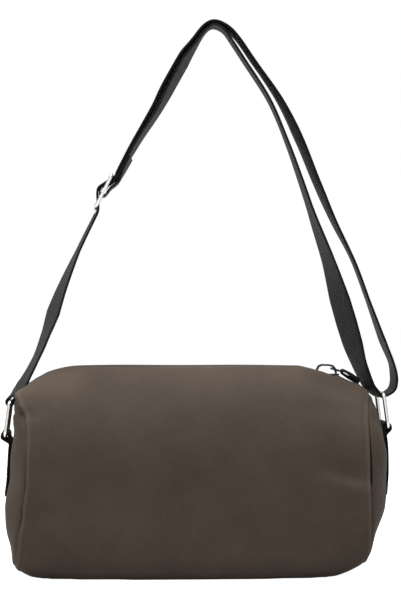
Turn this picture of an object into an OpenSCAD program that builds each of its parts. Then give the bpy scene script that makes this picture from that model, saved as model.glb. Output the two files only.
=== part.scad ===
// Soft barrel-shaped crossbody bag with a top zip and an adjustable webbing strap, in millimetres.
// +Z is up, +X runs to the zip's closed end and -Y is the front. The origin is the centre of the base.

/* [Body of the bag] */
// Length of the main panel between its end seams, at the waist
body_len = 268; // [240:1:300]
// Front to back, at the widest
body_depth = 140; // [124:1:156]
// Height of the full section above the base, before the zip's groove
body_height = 163.4; // [155:0.1:172]
// Height of the widest part of the section
belly_height = 68; // [60:1:76]
// Length of the top that stays level before the shoulders fall
flat_top_len = 160; // [150:1:170]
// Fall of the top from there to the end seams
top_drop = 23.7; // [20:0.1:26]
// Length of the base that lies flat
base_len = 180; // [150:1:200]
// Rise of the base's ends at the end seams
corner_lift = 11; // [6:0.5:16]
// How far the full section would reach below the base, which presses it flat
base_press = 5; // [3:0.5:8]
// How much less deep each half is at the end seams
end_narrow = 6; // [2:0.5:10]
// How far an end panel domes past its seam
end_bulge = 11; // [8:0.5:14]
// Thickness of the padded outer cloth
cloth_t = 1.4; // [1:0.1:2]
// Thickness of the lining
lining_t = 0.5; // [0.3:0.1:0.8]
// Gap between sewn layers
layer_gap = 0.1; // [0.05:0.05:0.2]

/* [Zip] */
// Depth of the groove that the zip lies in, at mid length
groove_depth = 9.9; // [9.4:0.1:10.4]
// Width of the groove's floor
groove_floor = 22; // [20:1:28]
// Width of the groove from lip to lip
groove_width = 46; // [42:1:54]
// Width of the slot between the cloth's edges
slot_w = 15; // [14:0.5:18]
// Width of one zip tape
tape_w = 11; // [9:0.5:14]
// Thickness of a zip tape
tape_t = 0.7; // [0.5:0.1:1]
// Pitch of the teeth
tooth_pitch = 2.8; // [2.4:0.1:4]
// Height of a tooth
tooth_h = 2.6; // [2:0.1:3]
// How far the closed slider's centre lies in from the end seam
closed_inset = 30.8; // [30:0.1:36]
// How much less than the bag's length the slider travels to its open end
travel_less = 68; // [66:1:118]
// Length of the slider's plates
slider_len = 20; // [16:0.5:20.5]
// Width of the slider's plates
slider_w = 12; // [10:0.5:13]
// Width of the pull's ribbon
pull_w = 6.5; // [5:0.5:7]
// Length of the pull's ribbon past its eye
pull_len = 16; // [12:0.5:17]

/* [Strap and hardware] */
// Width of the webbing
webbing_w = 38; // [30:1:40]
// Thickness of the webbing
webbing_t = 1.8; // [1.2:0.1:2]
// Wire of the rings
ring_wire = 3.2; // [2.6:0.1:3.6]
// Height of a ring between the centres of its bars
ring_rise = 26.3; // [24:0.1:28]
// How far each ring's lower bar stands out past the end seams' waist
ring_out = 15.4; // [15:0.1:18]
// How far the left ring's lower bar lies below the bag's top
left_ring_drop = 56.1; // [53:0.1:60]
// How far the right ring's lower bar lies below the bag's top
right_ring_drop = 50.2; // [49:0.1:54]
// How far the tabs' sewn lower ends lie below the widest part of the section
tab_foot_drop = 8; // [2:1:18]
// Height of the strap's top above the bag's
strap_rise = 269.2; // [240:0.1:296]
// Height of the axis that the strap falls about above the bag's top
swing_rise = 1.6; // [1.1:0.1:4.6]
// Place of the tri-glide on the strap, as a distance left of the bag's middle
glide_x = 73.1; // [66:0.1:76]
// Height of the tri-glide's centre above the bag's top
glide_rise = 134.3; // [127:0.1:141]
// Wire of the tri-glide's frame
glide_wire = 2.6; // [2:0.1:3]
// Length of the tri-glide along the strap, between the centres of its end bars
glide_len = 28; // [26:0.5:32]

/* [Hidden] */

// Steps along and round the sewn cloth, and round wire
$fn = 32;
round_steps = 19;
ring_steps = 48;
dome_steps = 6;
lining_ring_steps = 36;
spline_steps = 4;
arc_steps = 10;

// Fits
seam_gap = 0.2;
running = 0.05;
loop_gap = 0.3;
cut_over = 1;

// Shape of the section: how square its crown and its base are, and how its shoulders, dome and seams run
crown_power = 2.4;
base_power = 5;
shoulder_power = 1.43;
corner_power = 2;
dome_power = 1.6;
lining_dome_power = 2;
lining_flat_share = 0.88;
seam_bow = 9;
waist_drop = 68.4;
waist_z = body_height - waist_drop;
pole_share = 0.04;
// Stations along half of the cloth, and across half of the groove
len_shares = [0, 0.2, 0.4, 0.6, 0.68, 0.75, 0.815, 0.87, 0.92, 0.96, 1];
lip_shares = [0.48, 0.6, 0.72, 0.84, 0.94, 1, 1.15, 1.4];

// Seam allowance and lining
binding_in = 0.5;
binding_w = 5.5;
binding_deep = 9;
lining_inset = 8;
lining_back = 3;
lining_slack = 0.5;
tape_in = 2.8;
under_cloth = cloth_t + layer_gap;
under_tape = under_cloth + tape_t + layer_gap;
lining_deep = under_tape + lining_slack;
lining_slot = 19;

// Zip chain
closed_x = body_len / 2 - closed_inset;
zip_travel = body_len - travel_less;
zip_mid_z = body_height - groove_depth - under_cloth - tape_t / 2;
bead_w = 1.2;
bead_h = 1.8;
tooth_len = 3.4;
tooth_w = 1.15;
stop_len = 2.2;
stop_w = 2.4;
post_len = 2.4;
post_w = 1.6;
post_back = 0.6;
chain_end = closed_x + slider_len / 2 - post_back - post_len - loop_gap;
chain_start = closed_x - zip_travel - slider_len / 2 - loop_gap;
teeth = floor((chain_end - chain_start) / tooth_pitch);

// Slider
plate_t = 1.2;
plate_gap = tooth_h / 2 + 0.2 * plate_t;
flange_w = 1;
flange_lift = tape_t / 2 + running * 3;
flange_from_share = -0.2;
flange_to_share = 0.74;
crown_len = 16.8;
crown_h = 7.8;
crown_t = 1.5;
crown_w = 3.2;
nose_shares = [[-1, 0.7], [-0.2, 1], [0.8, 1], [1, 0.75]];
arch_shares = [[-1, 0], [-0.98, 0.5], [-0.8, 0.86], [-0.5, 1], [0.3, 0.97], [0.64, 0.89], [0.9, 0.62],
    [1, 0.3], [1, 0]];

// Pull
eye_wire = 1.6;
eye_x = 4;
eye_z = 4.1;
eye_len = 9;
eye_inner_w = pull_w + 2 * loop_gap;
eye_corner = 0.65 * eye_wire;
eye_tilt = -15;
ribbon_t = 0.8;
ribbon_tilt = -31;
ribbon_spread = 1.4;

// Rings and tabs
ring_reach = body_len / 2 + ring_out;
ring_inner_w = webbing_w + ring_wire + 0.25 * ring_wire;
ring_corner = 1.25 * ring_wire;
ring_lean = 7.5;
half_w = webbing_w / 2;
wrap_r = ring_wire / 2 + loop_gap + webbing_t / 2;
ply = webbing_t + layer_gap;
tab_top_gap = 13;
tab_steps = 6;

// Heights tied to the bag's own
left_ring_z = body_height - left_ring_drop;
right_ring_z = body_height - right_ring_drop;
tab_foot_z = belly_height - tab_foot_drop;
swing_z = body_height + swing_rise;
strap_top_z = body_height + strap_rise;
glide_z = body_height + glide_rise;

// Strap: its runs start clear of the turning circle of the rounded ends
tip_w = 4;
run_low_z = swing_z - sqrt(pow(half_w, 2) - pow(tip_w, 2));
end_top_z = swing_z - half_w - loop_gap;
rise = strap_top_z - end_top_z;
upper_reach = ring_reach - ring_rise * sin(ring_lean);
left_inward = 6.967;
inner_inward = 11.667;
outer_outward = 10.333;
left_reach = upper_reach - left_inward;
inner_reach = upper_reach - inner_inward;
outer_reach = upper_reach + outer_outward;
left_wrap_angle = 40;
tail_len = 9.5;
tail_angle = 110;

// Tri-glide: its lean from upright, and the paths of the webbing through it
glide_lean = 26.7;
bar_r = 1.5;
collar_wall = 1;
collar_h = 2.4 * bar_r;
glide_corner = 2.5;
collar_r = glide_wire / 2 + running + collar_wall;
glide_inner_w = webbing_w + 2 * (collar_r + loop_gap) - glide_wire;
over_bar = bar_r + loop_gap + webbing_t / 2;
over_loop = over_bar + loop_gap + webbing_t;
under_wire = -glide_wire / 2 - loop_gap - webbing_t / 2;
under_two = under_wire - webbing_t - loop_gap * 3;
under_three = under_two - webbing_t - loop_gap * 3;
glide_reach = glide_len / 2 + glide_wire / 2 + webbing_t;

// Routes of the strap's runs. Each share is across, of the ring's reach, and up, of the strap's rise.
left_run_shares = [[-0.638, 0.37], [-0.733, 0.26], [-0.811, 0.144], [-0.862, 0.074]];
outer_run_shares = [[-0.32, 0.673], [-0.23, 0.755], [-0.175, 0.809], [-0.082, 0.893], [-0.025, 0.937],
    [0.038, 0.983], [0.092, 0.9968], [0.162, 0.984], [0.222, 0.955], [0.303, 0.896], [0.45, 0.785],
    [0.558, 0.674], [0.649, 0.563], [0.742, 0.453], [0.843, 0.343], [0.93, 0.232], [1.008, 0.122],
    [1.062, 0.06]];
inner_run_shares = [[-0.297, 0.673], [-0.203, 0.751], [-0.148, 0.804], [-0.062, 0.886], [-0.01, 0.928],
    [0.044, 0.9705], [0.092, 0.9882], [0.146, 0.9755], [0.19, 0.944], [0.254, 0.893], [0.394, 0.785],
    [0.489, 0.674], [0.569, 0.563], [0.64, 0.453], [0.713, 0.343], [0.78, 0.232], [0.84, 0.122],
    [0.872, 0.06]];

// Twist of each run: each pair is a share of its length and the angle there
left_twist_shares = [[0, -3], [0.2, -4], [0.4, -11], [0.5, -15], [0.6, -10], [0.8, -7], [1, -6]];
outer_twist_shares = [[0.1, 0], [0.16, -8], [0.21, -9], [0.26, -4], [0.32, 0], [0.58, 0], [0.68, -5],
    [0.74, -4], [0.79, 3], [0.84, 0], [0.89, -5], [1, -3]];
inner_twist_shares = [[0.1, 0], [0.16, -8], [0.21, -9], [0.26, -4], [0.32, 0], [0.72, 0], [0.79, -5],
    [0.84, -14], [0.87, -15], [0.9, -13], [0.95, -9], [1, -7]];

function sgnpow(v, p) = sign(v) * pow(abs(v), p);
function ease(u) = u <= 0 ? 0 : u >= 1 ? 1 : u * u * (3 - 2 * u);
function past(f, level) = max(0, abs(f) - level / body_len) / (1 - level / body_len);

// The cloth's surface: f runs from -1 to 1 along the bag, t turns about its axis and d is the depth below
// the outside
function shoulder_drop(f) = top_drop * pow(past(f, flat_top_len), shoulder_power);
function base_rise(f) = (base_press + corner_lift) * pow(past(f, base_len), corner_power);
function half_depth(f) = body_depth / 2 - end_narrow * f * f;
function groove(f, y) = max(0, groove_depth - shoulder_drop(f))
    * (1 - ease((abs(y) - groove_floor / 2) / ((groove_width - groove_floor) / 2)));
function seam_x(z) = body_len / 2 + seam_bow * pow((z - waist_z) / waist_z, 2);
function skin(f, t, d) = let (
        upper = sin(t) >= 0,
        power = upper ? crown_power : base_power,
        rise_of = upper ? body_height - belly_height - shoulder_drop(f) - d
            : belly_height + base_press - base_rise(f) - d,
        y = (half_depth(f) - d) * sgnpow(cos(t), 2 / power),
        round_z = belly_height + rise_of * sgnpow(sin(t), 2 / power),
        z = upper ? round_z - groove(f, y) : max(d, round_z)
    ) [f * seam_x(z), y, z];
// The turn at which the section's front half is y from the middle line
function edge_turn(f, y, d) = acos(-pow(y / (half_depth(f) - d), crown_power / 2));

// Closed solid between two grids of points. The way along, then across, points into the solid at the top.
module sheet(top, bottom) {
    m = len(top) - 1;
    n = len(top[0]) - 1;
    row = n + 1;
    under = (m + 1) * row;
    points = concat([for (line = top) each line], [for (line = bottom) each line]);
    faces = concat(
        [for (i = [0:m - 1]) for (j = [0:n - 1]) let (a = i * row + j)
            each [[a, a + row, a + row + 1], [a, a + row + 1, a + 1],
                [under + a, under + a + row + 1, under + a + row],
                [under + a, under + a + 1, under + a + row + 1]]],
        [for (i = [0:m - 1]) let (a = i * row, b = i * row + n)
            each [[a + row, a, under + a], [a + row, under + a, under + a + row],
                [b, b + row, under + b + row], [b, under + b + row, under + b]]],
        [for (j = [0:n - 1]) let (a = j, b = m * row + j)
            each [[a, a + 1, under + a + 1], [a, under + a + 1, under + a],
                [b + 1, b, under + b], [b + 1, under + b, under + b + 1]]]);
    polyhedron(points, faces);
}

// Closed solid through rings of points that turn right-handed about the way along. Its ends meet or are
// capped.
module loft(rings, closed = false) {
    m = len(rings);
    n = len(rings[0]);
    middle = [for (ring = [rings[0], rings[m - 1]]) [for (p = ring) 1 / n] * ring];
    points = concat([for (ring = rings) each ring], closed ? [] : middle);
    sides = [for (i = [0:closed ? m - 1 : m - 2]) for (j = [0:n - 1])
        let (next = (i + 1) % m, k = (j + 1) % n, a = i * n + j, b = i * n + k, c = next * n + j, d = next * n + k)
        each [[a, c, d], [a, d, b]]];
    caps = closed ? [] : [for (j = [0:n - 1]) let (k = (j + 1) % n)
        each [[j, k, m * n], [(m - 1) * n + k, (m - 1) * n + j, m * n + 1]]];
    polyhedron(points, concat(sides, caps));
}

// Smooth line through chosen points
function blend_point(a, b, c, d, u) = (b * 2 + (c - a) * u + (a * 2 - b * 5 + c * 4 - d) * u * u
    + (b * 3 - a - c * 3 + d) * u * u * u) / 2;
function smooth_line(pts, steps) = let (last = len(pts) - 1)
    concat([for (i = [0:last - 1]) for (k = [0:steps - 1])
        blend_point(pts[max(i - 1, 0)], pts[i], pts[i + 1], pts[min(i + 2, last)], k / steps)], [pts[last]]);
function unit(v) = v / norm(v);
function along(pts, i) = unit(pts[min(i + 1, len(pts) - 1)] - pts[max(i - 1, 0)]);
function arc(centre, r, from, to) = [for (k = [0:arc_steps]) let (a = from + (to - from) * k / arc_steps)
    centre + r * [cos(a), sin(a)]];

// Strip of webbing or ribbon laid along a path of x and z, flat across
module strip(path, width, thick) {
    side = [for (i = [0:len(path) - 1]) let (u = along(path, i)) [-u.y, u.x] * thick / 2];
    rotate([90, 0, 0]) linear_extrude(width, center = true)
        polygon(concat(path + side, [for (i = [len(path) - 1:-1:0]) path[i] - side[i]]));
}

// Run of webbing with a twist, along a path that turns right-handed about its own way. Below the swing axis
// its ends are rounded, so that they turn within their own circle.
function run_half_w(z) = z >= swing_z ? half_w
    : sqrt(max(pow(tip_w, 2), pow(half_w, 2) - pow(swing_z - z, 2)));
module webbing_run(path, twist_shares) {
    last = len(path) - 1;
    loft([for (i = [0:last]) let (
            u = along(path, i),
            turn = lookup(i / last, twist_shares),
            flat = [0, cos(turn), 0] + sin(turn) * [-u.y, 0, u.x],
            up = cos(turn) * [-u.y, 0, u.x] - [0, sin(turn), 0],
            w = run_half_w(path[i].y) * flat,
            h = webbing_t / 2 * up,
            p = [path[i].x, 0, path[i].y]
        ) [p + w + h, p - w + h, p - w - h, p + w - h]]);
}

module at_side(side) { mirror([side < 0 ? 1 : 0, 0, 0]) children(); }

// Rectangular wire ring with rounded corners, standing on its lower bar's centre
module wire_ring(inner_w, bar_rise, corner, wire) {
    mid_w = inner_w + wire;
    for (side = [-1, 1]) {
        translate([0, side * mid_w / 2, corner]) cylinder(d = wire, h = bar_rise - 2 * corner);
        for (top = [0, 1])
            translate([0, side * (mid_w / 2 - corner), top ? bar_rise - corner : corner])
                rotate([0, 90, 0])
                    rotate([0, 0, side > 0 ? (top ? 90 : 0) : (top ? 180 : 270)])
                        rotate_extrude(angle = 90) translate([corner, 0]) circle(d = wire);
    }
    for (z = [0, bar_rise])
        translate([0, -mid_w / 2 + corner, z]) rotate([-90, 0, 0]) cylinder(d = wire, h = mid_w - 2 * corner);
}

// Cloth body
stations = concat([for (k = [len(len_shares) - 1:-1:1]) -len_shares[k]], len_shares);
function lip_ys(from) = concat([from],
    [for (s = lip_shares) if (s * groove_width / 2 > from) s * groove_width / 2]);
function front_turns(f, slot, d) = let (
        lips = [for (y = lip_ys(slot / 2)) edge_turn(f, y, d)],
        last = lips[len(lips) - 1]
    ) concat(lips, [for (k = [1:round_steps]) last + (270 - last) * k / round_steps]);
function wrap(reach, slot, d) = [for (share = stations) let (
        f = reach * share,
        front = front_turns(f, slot, d),
        turns = concat(front, [for (k = [len(front) - 2:-1:0]) 540 - front[k]])
    ) [for (t = turns) skin(f, t, d)]];

module main_panel() {
    color([0.32, 0.28, 0.25])
        sheet(wrap(1, slot_w, 0), wrap(1, slot_w, cloth_t));
}

// Dome over an end seam, set back by inset and cut in by depth
function dome_ring(share, power, flat_share, bulge, inset, depth, steps) = [for (k = [0:steps - 1]) let (
        rim = skin(1, 360 * k / steps, depth),
        z = belly_height + (rim.z - belly_height) * share
    ) [seam_x(z) + bulge * (1 - pow(min(1, share / flat_share), power)) - inset, rim.y * share, z]];
module dome(power, flat_share, bulge, inset, depth, thick, steps) {
    shares = [for (k = [0:dome_steps]) pole_share + (1 - pole_share) * sin(90 * k / dome_steps)];
    loft(concat([for (s = shares) dome_ring(s, power, flat_share, bulge, inset, depth, steps)],
        [for (k = [dome_steps:-1:0]) dome_ring(shares[k], power, flat_share, bulge, inset - thick, depth,
            steps)]));
}
module end_panel(side) {
    color([0.34, 0.3, 0.27]) at_side(side) dome(dome_power, 1, end_bulge, -seam_gap, 0, cloth_t, ring_steps);
}
module lining_end(side) {
    color([0.12, 0.12, 0.13]) at_side(side)
        dome(lining_dome_power, lining_flat_share, end_bulge + lining_inset - lining_back,
            lining_inset - seam_gap, lining_deep, lining_t, lining_ring_steps);
}

// Bound seam allowance inside an end seam
module seam_binding(side) {
    color([0.08, 0.08, 0.08]) at_side(side) loft([for (k = [0:ring_steps - 1]) let (
            turn = 360 * k / ring_steps,
            outer = skin(1, turn, under_tape),
            inner = skin(1, turn, binding_deep)
        ) [outer - [binding_in, 0, 0], outer - [binding_in + binding_w, 0, 0],
            inner - [binding_in + binding_w, 0, 0], inner - [binding_in, 0, 0]]], closed = true);
}

module lining_body() {
    reach = 1 - 2 * lining_inset / body_len;
    color([0.13, 0.13, 0.14])
        sheet(wrap(reach, lining_slot, lining_deep), wrap(reach, lining_slot, lining_deep + lining_t));
}

// Zip
tape_edge = tape_in + tape_w;
tape_ys = concat([tape_in], [for (y = lip_ys(slot_w / 2)) if (y < tape_edge - layer_gap) y], [tape_edge]);
function tape_grid(side, depth) = [for (share = stations) let (
        f = share * (1 - seam_gap / body_len),
        front = [for (y = tape_ys) edge_turn(f, y, depth)]
    ) [for (k = [0:len(front) - 1]) skin(f, side < 0 ? front[k] : 540 - front[len(front) - 1 - k], depth)]];
module zip_tape(side) {
    color([0.07, 0.07, 0.08]) sheet(tape_grid(side, under_cloth), tape_grid(side, under_cloth + tape_t));
}

module zip_teeth(side) {
    shift = side > 0 ? tooth_pitch / 2 : 0;
    color([0.1, 0.1, 0.11]) mirror([0, side > 0 ? 1 : 0, 0]) translate([chain_start, 0, zip_mid_z]) {
        translate([0, -tape_in + layer_gap, -bead_h / 2]) cube([chain_end - chain_start, bead_w, bead_h]);
        for (k = [0:teeth - 1])
            translate([k * tooth_pitch + shift, -tape_in + layer_gap, -tooth_h / 2])
                cube([tooth_w, tooth_len, tooth_h]);
    }
}

// Height of the tapes' middle at a place along the zip
function tape_z(x) = let (d = under_cloth + tape_t / 2, f = x / seam_x(zip_mid_z))
    skin(f, edge_turn(f, tape_in, d), d).z;
stop_x = closed_x + slider_len / 2 + loop_gap;
module zip_top_stops() {
    color([0.1, 0.1, 0.11]) for (side = [-1, 1])
        translate([stop_x, side * (tape_in - stop_w / 2), tape_z(stop_x + stop_len / 2)])
            translate([0, -stop_w / 2, -tooth_h / 2]) cube([stop_len, stop_w, tooth_h]);
}

module zip_bottom_stop() {
    color([0.1, 0.1, 0.11])
        translate([chain_start - layer_gap - stop_len, -tape_in + layer_gap, zip_mid_z - tooth_h / 2])
            cube([stop_len, 2 * (tape_in - layer_gap), tooth_h]);
}

module slider_plate() {
    half = slider_len / 2;
    wide = slider_w / 2;
    linear_extrude(plate_t) polygon(concat([for (s = nose_shares) [s.x * half, s.y * wide]],
        [for (k = [len(nose_shares) - 1:-1:0]) [nose_shares[k].x * half, -nose_shares[k].y * wide]]));
}
module arch(len_of, height) {
    polygon([for (s = arch_shares) [s.x * len_of / 2, s.y * height]]);
}
plate_top = plate_gap + plate_t;
module zip_slider() {
    flange_from = flange_from_share * slider_len / 2;
    color([0.06, 0.06, 0.07]) translate([closed_x, 0, zip_mid_z]) {
        for (top = [0, 1]) mirror([0, 0, top]) {
            translate([0, 0, plate_gap]) slider_plate();
            for (side = [-1, 1])
                translate([flange_from, side > 0 ? slider_w / 2 - flange_w : -slider_w / 2, flange_lift])
                    cube([flange_to_share * slider_len / 2 - flange_from, flange_w,
                        plate_gap + plate_t / 2 - flange_lift]);
        }
        translate([slider_len / 2 - post_back - post_len, -post_w / 2, -plate_gap - plate_t / 2])
            cube([post_len, post_w, 2 * plate_gap + plate_t]);
        translate([0, crown_w / 2, plate_top - plate_t / 2]) rotate([90, 0, 0]) linear_extrude(crown_w)
            difference() {
                arch(crown_len, crown_h + plate_t / 2);
                translate([0, -cut_over])
                    arch(crown_len - 2 * crown_t, crown_h + plate_t / 2 - crown_t + cut_over);
            }
    }
}

module at_pull() { translate([closed_x + eye_x, 0, zip_mid_z + plate_top + eye_z]) children(); }
eye_end = eye_len * [cos(eye_tilt), sin(eye_tilt)];
module zip_pull_eye() {
    color([0.06, 0.06, 0.07]) at_pull() rotate([0, 90 - eye_tilt, 0])
        wire_ring(eye_inner_w, eye_len, eye_corner, eye_wire);
}
module zip_pull_ribbon() {
    turn_r = eye_wire / 2 + running + ribbon_t / 2;
    far = eye_end + pull_len * [cos(ribbon_tilt), sin(ribbon_tilt)];
    lift = (ribbon_t / 2 + running) * [-sin(ribbon_tilt), cos(ribbon_tilt)];
    spread = (ribbon_t + ribbon_spread) * [-sin(ribbon_tilt), cos(ribbon_tilt)];
    half_way = (eye_end + far) / 2;
    path = concat([far - lift, half_way - spread], arc(eye_end, turn_r, ribbon_tilt - 90, ribbon_tilt - 270),
        [half_way + spread, far + lift]);
    color([0.06, 0.06, 0.06]) at_pull() strip(path, pull_w, ribbon_t);
}

// Rings and their tabs
function ring_z(side) = side < 0 ? left_ring_z : right_ring_z;
function upper_bar(side) = [ring_reach - ring_rise * sin(ring_lean), ring_z(side) + ring_rise * cos(ring_lean)];
module ring(side) {
    color([0.78, 0.78, 0.78]) at_side(side) translate([ring_reach, 0, ring_z(side)])
        rotate([0, -ring_lean, 0]) wire_ring(ring_inner_w, ring_rise, ring_corner, ring_wire);
}
function dome_face(z) = let (
        rim_z = z > belly_height ? skin(1, 90, 0).z : skin(1, 270, 0).z,
        share = (z - belly_height) / (rim_z - belly_height)
    ) seam_x(z) + seam_gap + cloth_t + end_bulge * (1 - pow(abs(share), dome_power));
module ring_tab(side) {
    bar = [ring_reach, ring_z(side)];
    top = bar.y - tab_top_gap;
    rising = [for (k = [0:tab_steps]) let (z = tab_foot_z + (top - tab_foot_z) * k / tab_steps)
        [dome_face(z) + layer_gap + webbing_t / 2, z]];
    falling = [for (k = [tab_steps:-1:0]) rising[k] + [ply, 0]];
    color([0.07, 0.07, 0.07]) at_side(side)
        strip(concat(rising, arc(bar, wrap_r, 180, 0), falling), webbing_w, webbing_t);
}

// Strap ends at the rings
module strap_end_left() {
    bar = upper_bar(-1);
    wrapped = arc(bar, wrap_r, left_wrap_angle, left_wrap_angle - 180);
    tail = wrapped[arc_steps] + tail_len * [cos(tail_angle), sin(tail_angle)];
    color([0.07, 0.07, 0.07]) at_side(-1)
        strip(concat([[left_reach, end_top_z]], wrapped, [tail]), webbing_w, webbing_t);
}
module strap_end_right() {
    bar = upper_bar(1);
    bight = arc(bar, wrap_r, -125, -50);
    low = bight[0];
    high = bight[arc_steps];
    inner_top = [inner_reach, end_top_z];
    outer_top = [outer_reach, end_top_z];
    path = smooth_line([inner_top, inner_top + [0.32, -0.42] * (low.x - inner_top.x), low,
        bight[arc_steps / 2], high, outer_top + [-0.3, -0.5] * (outer_top.x - high.x), outer_top],
        spline_steps);
    color([0.07, 0.07, 0.07]) strip(path, webbing_w, webbing_t);
}

// Tri-glide: s runs up the strap and n points to its outer side
glide_up = [sin(glide_lean), cos(glide_lean)];
glide_out = [-cos(glide_lean), sin(glide_lean)];
glide_centre = [-glide_x, glide_z];
function at_glide(s, n) = glide_centre + s * glide_up + n * glide_out;
module glide_place() { translate([-glide_x, 0, glide_z]) rotate([0, glide_lean, 0]) children(); }
module glide_frame() {
    color([0.75, 0.75, 0.75]) glide_place() translate([0, 0, -glide_len / 2])
        wire_ring(glide_inner_w, glide_len, glide_corner, glide_wire);
}
module glide_bar() {
    rail_y = (glide_inner_w + glide_wire) / 2;
    eye_r = glide_wire / 2 + running;
    color([0.7, 0.7, 0.7]) glide_place() {
        rotate([90, 0, 0])
            cylinder(r = bar_r, h = 2 * (rail_y - eye_r - collar_wall / 2), center = true);
        for (side = [-1, 1]) translate([0, side * rail_y, 0])
            rotate_extrude() translate([eye_r, -collar_h / 2]) square([collar_wall, collar_h]);
    }
}
module glide_webbing() {
    path = smooth_line([at_glide(-glide_reach, under_wire), at_glide(-glide_len / 2, under_wire),
        at_glide(-glide_len / 4, 0.6 * over_bar), at_glide(0, over_loop), at_glide(glide_len / 4, 0.6 * over_bar),
        at_glide(glide_len / 2, under_wire), at_glide(glide_reach, under_wire)], spline_steps);
    color([0.07, 0.07, 0.07]) strip(path, webbing_w, webbing_t);
}
module strap_sewn_end() {
    from = atan2(under_two, glide_len / 2) + acos(over_bar / norm([glide_len / 2, under_two]));
    turn = [for (k = [0:arc_steps]) let (a = from + (270 - from) * k / arc_steps)
        at_glide(over_bar * cos(a), over_bar * sin(a))];
    path = concat([at_glide(glide_reach, under_two), at_glide(glide_len / 2, under_two)], turn,
        [at_glide(glide_len / 5, -over_bar - 0.6 * webbing_t), at_glide(glide_len / 2, under_three),
        at_glide(glide_reach, under_three)]);
    color([0.07, 0.07, 0.07]) strip(path, webbing_w, webbing_t);
}

// Runs of the strap
function route(shares) = [for (s = shares) [s.x * ring_reach, end_top_z + s.y * rise]];
module strap_left_run() {
    start = at_glide(-glide_reach - loop_gap, under_wire);
    path = smooth_line(concat([start], route(left_run_shares), [[-left_reach, run_low_z]]), spline_steps);
    color([0.08, 0.08, 0.08]) webbing_run(path, left_twist_shares);
}
module strap_outer_run() {
    start = at_glide(glide_reach + loop_gap, under_wire);
    path = smooth_line(concat([start], route(outer_run_shares), [[outer_reach, run_low_z]]), spline_steps);
    color([0.08, 0.08, 0.08]) webbing_run(path, outer_twist_shares);
}
module strap_inner_run() {
    start = at_glide(glide_reach + loop_gap, under_two);
    path = smooth_line(concat([start], route(inner_run_shares), [[inner_reach, run_low_z]]), spline_steps);
    color([0.08, 0.08, 0.08]) webbing_run(path, inner_twist_shares);
}

main_panel();
end_panel(-1);  // end_panel_left
end_panel(1);  // end_panel_right
seam_binding(-1);  // seam_binding_left
seam_binding(1);  // seam_binding_right
lining_body();
lining_end(-1);  // lining_end_left
lining_end(1);  // lining_end_right
zip_tape(-1);  // zip_tape_front
zip_tape(1);  // zip_tape_back
zip_teeth(-1);  // zip_teeth_front
zip_teeth(1);  // zip_teeth_back
zip_top_stops();
zip_bottom_stop();
zip_slider();
zip_pull_eye();
zip_pull_ribbon();
ring_tab(-1);  // ring_tab_left
ring_tab(1);  // ring_tab_right
ring(-1);  // ring_left
ring(1);  // ring_right
strap_end_left();
strap_end_right();
strap_left_run();
strap_outer_run();
strap_inner_run();
glide_frame();
glide_bar();
glide_webbing();
strap_sewn_end();
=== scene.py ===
import math
import bpy
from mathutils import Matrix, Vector


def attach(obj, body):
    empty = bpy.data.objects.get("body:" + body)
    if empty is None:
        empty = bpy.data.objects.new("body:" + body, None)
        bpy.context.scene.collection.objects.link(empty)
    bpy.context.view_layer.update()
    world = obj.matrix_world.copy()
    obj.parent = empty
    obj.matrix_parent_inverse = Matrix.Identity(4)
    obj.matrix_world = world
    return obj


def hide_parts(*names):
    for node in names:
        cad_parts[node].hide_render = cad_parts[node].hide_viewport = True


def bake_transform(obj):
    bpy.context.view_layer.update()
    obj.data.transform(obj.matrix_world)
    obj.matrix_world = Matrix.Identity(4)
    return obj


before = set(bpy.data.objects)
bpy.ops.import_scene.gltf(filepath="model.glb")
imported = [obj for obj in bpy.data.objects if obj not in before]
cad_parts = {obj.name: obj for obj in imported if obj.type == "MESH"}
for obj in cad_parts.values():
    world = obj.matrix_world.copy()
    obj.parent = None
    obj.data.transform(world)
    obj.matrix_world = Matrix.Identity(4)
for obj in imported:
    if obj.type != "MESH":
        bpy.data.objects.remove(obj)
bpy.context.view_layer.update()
bpy.ops.object.select_all(action="DESELECT")

# Camera: the photograph was taken with a long lens from 1.7 m in front of the bag, level with the lower
# part of the strap and a little to the left.
mm = 0.001
stand_off = 1.7
view_turn = math.radians(3)
aim = Vector((3.5, 0, 212.4)) * mm
look = Vector((math.sin(view_turn), math.cos(view_turn), 0))
bpy.ops.object.camera_add(location=aim - stand_off * look, rotation=(math.radians(90), 0, -view_turn))
camera = bpy.context.active_object
camera.data.sensor_fit = "VERTICAL"
camera.data.sensor_height = 36
camera.data.lens = 128.9
bpy.context.scene.camera = camera
bpy.context.scene.view_settings.view_transform = "Standard"

# Studio: a plain pale floor that keeps the bag's soft shadow, a white room, a wide soft box overhead and a
# weak one in front.
floor_glow = 0.98
room_light = 0.26


def add_node(finish, kind, inputs=None, **settings):
    made = finish.node_tree.nodes.new("ShaderNode" + kind)
    for key, value in settings.items():
        setattr(made, key, value)
    for key, value in (inputs or {}).items():
        if isinstance(value, bpy.types.NodeSocket):
            finish.node_tree.links.new(value, made.inputs[key])
        else:
            made.inputs[key].default_value = value
    return made


def worked_out(finish, operation, *values):
    return add_node(finish, "Math", dict(enumerate(values)), operation=operation).outputs[0]


def seen_directly(finish):
    rays = add_node(finish, "LightPath").outputs
    seen = worked_out(finish, "MAXIMUM", rays["Is Camera Ray"], rays["Is Glossy Ray"])
    return worked_out(finish, "MAXIMUM", seen, rays["Is Transmission Ray"])


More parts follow.
